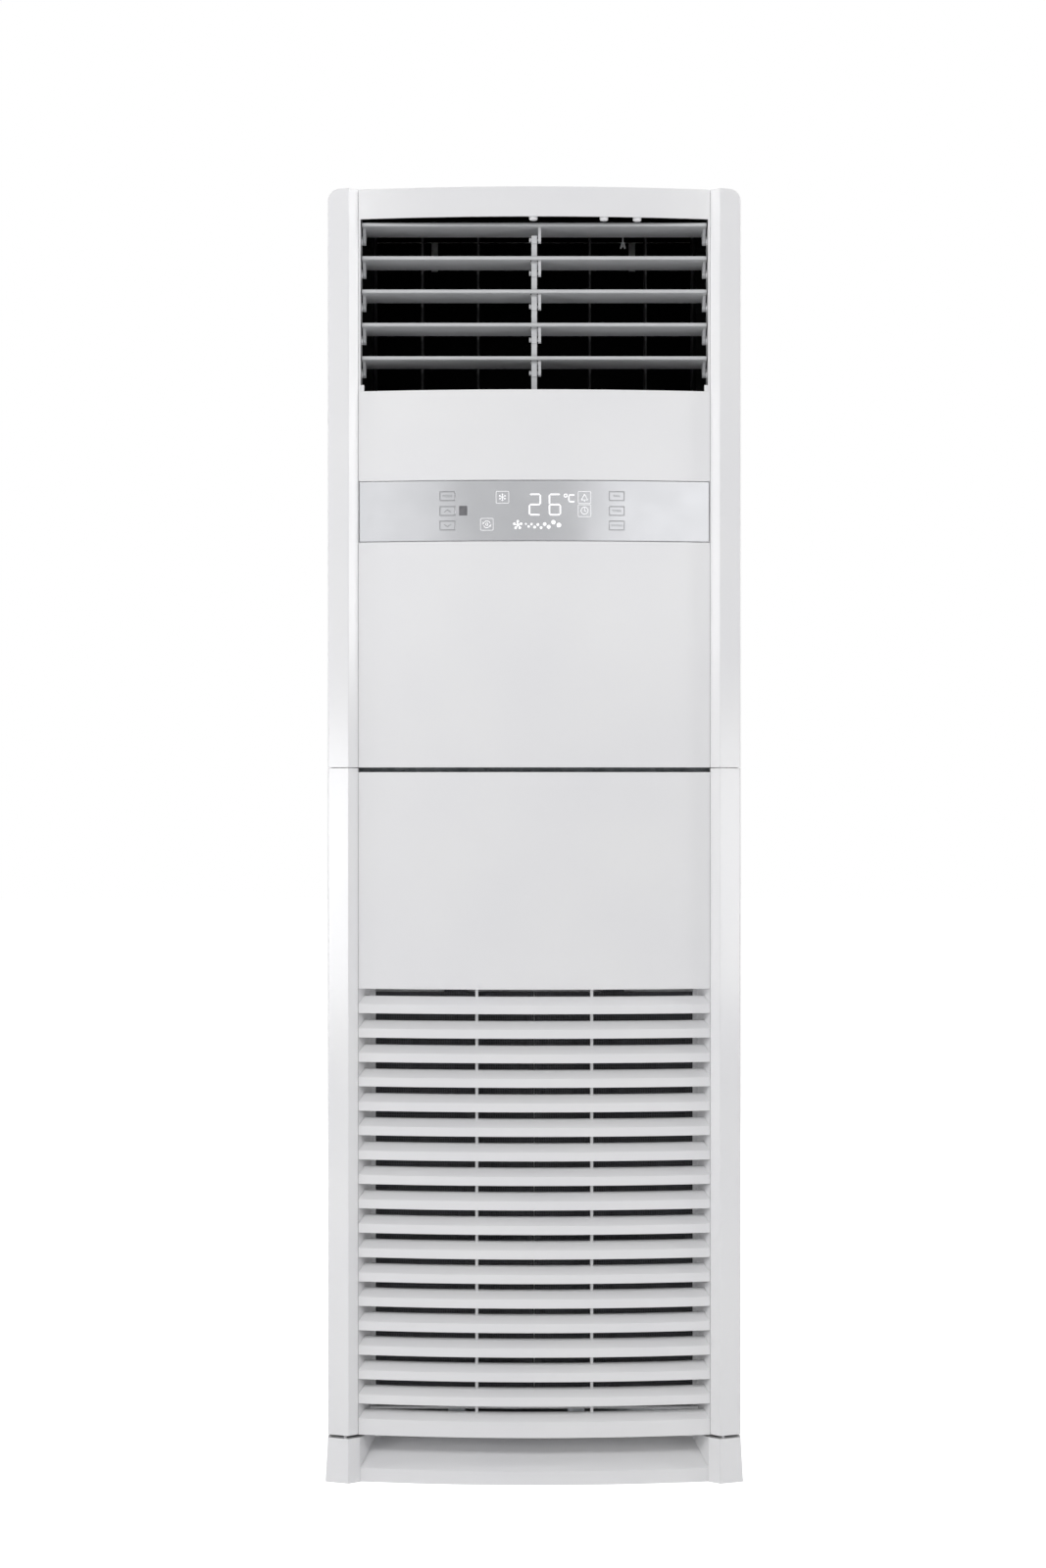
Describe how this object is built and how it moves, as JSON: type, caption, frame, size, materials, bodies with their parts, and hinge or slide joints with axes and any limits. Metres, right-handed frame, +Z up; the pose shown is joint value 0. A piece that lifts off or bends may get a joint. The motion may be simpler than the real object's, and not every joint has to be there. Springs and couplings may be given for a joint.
{
  "type": "floor standing air conditioner",
  "caption": "Tall indoor air conditioner cabinet with a bowed front, louvred outlet on top, mirror display band and a slatted intake door at the bottom.",
  "frame": {"origin": "on the floor, under the middle of the cabinet's bounding box", "axes": "+X to the right as seen from the front, +Y to the back, +Z up"},
  "size_m": [0.582, 0.4, 1.8],
  "materials": {
    "shell_gloss": "glossy white ABS",
    "louvre_plastic": "moulded light grey plastic",
    "lens_mirror": "mirror coated acrylic",
    "key_mirror": "mirror coated acrylic",
    "black_plastic": "matt black plastic",
    "side_steel": "powder coated white",
    "galvanised": "galvanised steel",
    "screw_steel": "zinc plated",
    "fin_aluminium": "coated aluminium fins",
    "copper": "copper tube",
    "brass": "machined brass",
    "foot_rubber": "black rubber",
    "circuit_board": "glass fibre board",
    "filter_plastic": "dark grey plastic and mesh",
    "fan_plastic": "grey glass filled plastic",
    "motor_paint": "painted steel can",
    "pan_plastic": "moulded foam faced plastic"
  },
  "bodies": {
    "cabinet": {"base_pan": "galvanised", "foot_pads": "foot_rubber", "plinth": "shell_gloss", "rear_panel": "side_steel", "right_side_panel": "side_steel", "left_side_panel": "side_steel", "top_cover": "side_steel", "upper_front_panel": "shell_gloss", "upper_right_pillar": "shell_gloss", "upper_left_pillar": "shell_gloss", "display_lens": "lens_mirror", "display_board": "circuit_board", "outlet_duct": "black_plastic", "swing_motor": "galvanised", "mid_deck": "galvanised", "front_baffle": "galvanised", "cross_rail": "galvanised", "evaporator_fins": "fin_aluminium", "evaporator_tubes": "copper", "drain_pan": "pan_plastic", "gas_pipe": "copper", "liquid_pipe": "copper", "flare_unions": "brass", "fan_scroll": "galvanised", "inlet_ring": "fan_plastic", "motor_bracket": "galvanised", "fan_motor": "motor_paint", "control_box": "galvanised", "control_box_cover": "galvanised", "control_board": "circuit_board", "terminal_block": "black_plastic", "panel_screws": "screw_steel", "cable_grommet": "foot_rubber"},
    "fan": {"fan_wheel": "fan_plastic", "fan_shaft": "screw_steel", "wheel_nut": "screw_steel"},
    "louvre_1": {"louvre_1": "louvre_plastic"},
    "louvre_2": {"louvre_2": "louvre_plastic"},
    "louvre_3": {"louvre_3": "louvre_plastic"},
    "louvre_4": {"louvre_4": "louvre_plastic"},
    "louvre_5": {"louvre_5": "louvre_plastic"},
    "louvre_link": {"louvre_link": "louvre_plastic"},
    "vane_1": {"vane_1": "black_plastic"},
    "vane_2": {"vane_2": "black_plastic"},
    "vane_3": {"vane_3": "black_plastic"},
    "vane_4": {"vane_4": "black_plastic"},
    "vane_5": {"vane_5": "black_plastic"},
    "vane_link": {"vane_link": "black_plastic"},
    "door": {"door_panel": "shell_gloss", "intake_grille": "shell_gloss", "door_right_pillar": "shell_gloss", "door_left_pillar": "shell_gloss"},
    "filter_left": {"filter_left": "filter_plastic"},
    "filter_right": {"filter_right": "filter_plastic"},
    "mode_key": {"mode_key": "key_mirror"},
    "warmer_key": {"warmer_key": "key_mirror"},
    "cooler_key": {"cooler_key": "key_mirror"},
    "fan_speed_key": {"fan_speed_key": "key_mirror"},
    "timer_key": {"timer_key": "key_mirror"},
    "swing_key": {"swing_key": "key_mirror"}
  },
  "joints": [
    {"name": "fan_spin", "type": "hinge", "parent": "cabinet", "child": "fan", "pos_m": [-0.015, 0, 0.3], "axis": [0, 1, 0], "continuous": true},
    {"name": "louvre_1_tilt", "type": "hinge", "parent": "cabinet", "child": "louvre_1", "pos_m": [0, -0.139, 1.7358], "axis": [1, 0, 0], "range_deg": [-10, 30]},
    {"name": "louvre_2_tilt", "type": "hinge", "parent": "cabinet", "child": "louvre_2", "pos_m": [0, -0.139, 1.6892], "axis": [1, 0, 0], "range_deg": [-10, 30]},
    {"name": "louvre_3_tilt", "type": "hinge", "parent": "cabinet", "child": "louvre_3", "pos_m": [0, -0.139, 1.6426], "axis": [1, 0, 0], "range_deg": [-10, 30]},
    {"name": "louvre_4_tilt", "type": "hinge", "parent": "cabinet", "child": "louvre_4", "pos_m": [0, -0.139, 1.596], "axis": [1, 0, 0], "range_deg": [-10, 30]},
    {"name": "louvre_5_tilt", "type": "hinge", "parent": "cabinet", "child": "louvre_5", "pos_m": [0, -0.139, 1.5494], "axis": [1, 0, 0], "range_deg": [-10, 30]},
    {"name": "louvre_link_pivot", "type": "hinge", "parent": "louvre_1", "child": "louvre_link", "pos_m": [0, -0.159, 1.7333], "axis": [1, 0, 0], "range_deg": [-30, 10]},
    {"name": "vane_1_swing", "type": "hinge", "parent": "cabinet", "child": "vane_1", "pos_m": [-0.159, -0.065, 1.643], "axis": [0, 0, 1], "range_deg": [-35, 35]},
    {"name": "vane_2_swing", "type": "hinge", "parent": "cabinet", "child": "vane_2", "pos_m": [-0.0795, -0.065, 1.643], "axis": [0, 0, 1], "range_deg": [-35, 35]},
    {"name": "vane_3_swing", "type": "hinge", "parent": "cabinet", "child": "vane_3", "pos_m": [0, -0.065, 1.643], "axis": [0, 0, 1], "range_deg": [-35, 35]},
    {"name": "vane_4_swing", "type": "hinge", "parent": "cabinet", "child": "vane_4", "pos_m": [0.0795, -0.065, 1.643], "axis": [0, 0, 1], "range_deg": [-35, 35]},
    {"name": "vane_5_swing", "type": "hinge", "parent": "cabinet", "child": "vane_5", "pos_m": [0.159, -0.065, 1.643], "axis": [0, 0, 1], "range_deg": [-35, 35]},
    {"name": "vane_link_pivot", "type": "hinge", "parent": "vane_1", "child": "vane_link", "pos_m": [-0.159, -0.041, 1.523], "axis": [0, 0, 1], "range_deg": [-35, 35]},
    {"name": "door_tilt", "type": "hinge", "parent": "cabinet", "child": "door", "pos_m": [0, -0.178, 0.073], "axis": [1, 0, 0], "range_deg": [0, 18]},
    {"name": "filter_left_slide", "type": "slide", "parent": "door", "child": "filter_left", "axis": [0, 0, 1], "range_m": [0, 0.27]},
    {"name": "filter_right_slide", "type": "slide", "parent": "door", "child": "filter_right", "axis": [0, 0, 1], "range_m": [0, 0.27]},
    {"name": "mode_key_press", "type": "slide", "parent": "cabinet", "child": "mode_key", "axis": [0, 1, 0], "range_m": [0, 0.001], "stiffness_N_per_m": 400, "springref_m": -0.0005},
    {"name": "warmer_key_press", "type": "slide", "parent": "cabinet", "child": "warmer_key", "axis": [0, 1, 0], "range_m": [0, 0.001], "stiffness_N_per_m": 400, "springref_m": -0.0005},
    {"name": "cooler_key_press", "type": "slide", "parent": "cabinet", "child": "cooler_key", "axis": [0, 1, 0], "range_m": [0, 0.001], "stiffness_N_per_m": 400, "springref_m": -0.0005},
    {"name": "fan_speed_key_press", "type": "slide", "parent": "cabinet", "child": "fan_speed_key", "axis": [0, 1, 0], "range_m": [0, 0.001], "stiffness_N_per_m": 400, "springref_m": -0.0005},
    {"name": "timer_key_press", "type": "slide", "parent": "cabinet", "child": "timer_key", "axis": [0, 1, 0], "range_m": [0, 0.001], "stiffness_N_per_m": 400, "springref_m": -0.0005},
    {"name": "swing_key_press", "type": "slide", "parent": "cabinet", "child": "swing_key", "axis": [0, 1, 0], "range_m": [0, 0.001], "stiffness_N_per_m": 400, "springref_m": -0.0005}
  ],
  "couplings": [
    {"joint": "louvre_2_tilt", "follows": "louvre_1_tilt", "ratio": 1},
    {"joint": "louvre_3_tilt", "follows": "louvre_1_tilt", "ratio": 1},
    {"joint": "louvre_4_tilt", "follows": "louvre_1_tilt", "ratio": 1},
    {"joint": "louvre_5_tilt", "follows": "louvre_1_tilt", "ratio": 1},
    {"joint": "louvre_link_pivot", "follows": "louvre_1_tilt", "ratio": -1},
    {"joint": "vane_2_swing", "follows": "vane_1_swing", "ratio": 1},
    {"joint": "vane_3_swing", "follows": "vane_1_swing", "ratio": 1},
    {"joint": "vane_4_swing", "follows": "vane_1_swing", "ratio": 1},
    {"joint": "vane_5_swing", "follows": "vane_1_swing", "ratio": 1},
    {"joint": "vane_link_pivot", "follows": "vane_1_swing", "ratio": -1}
  ]
}
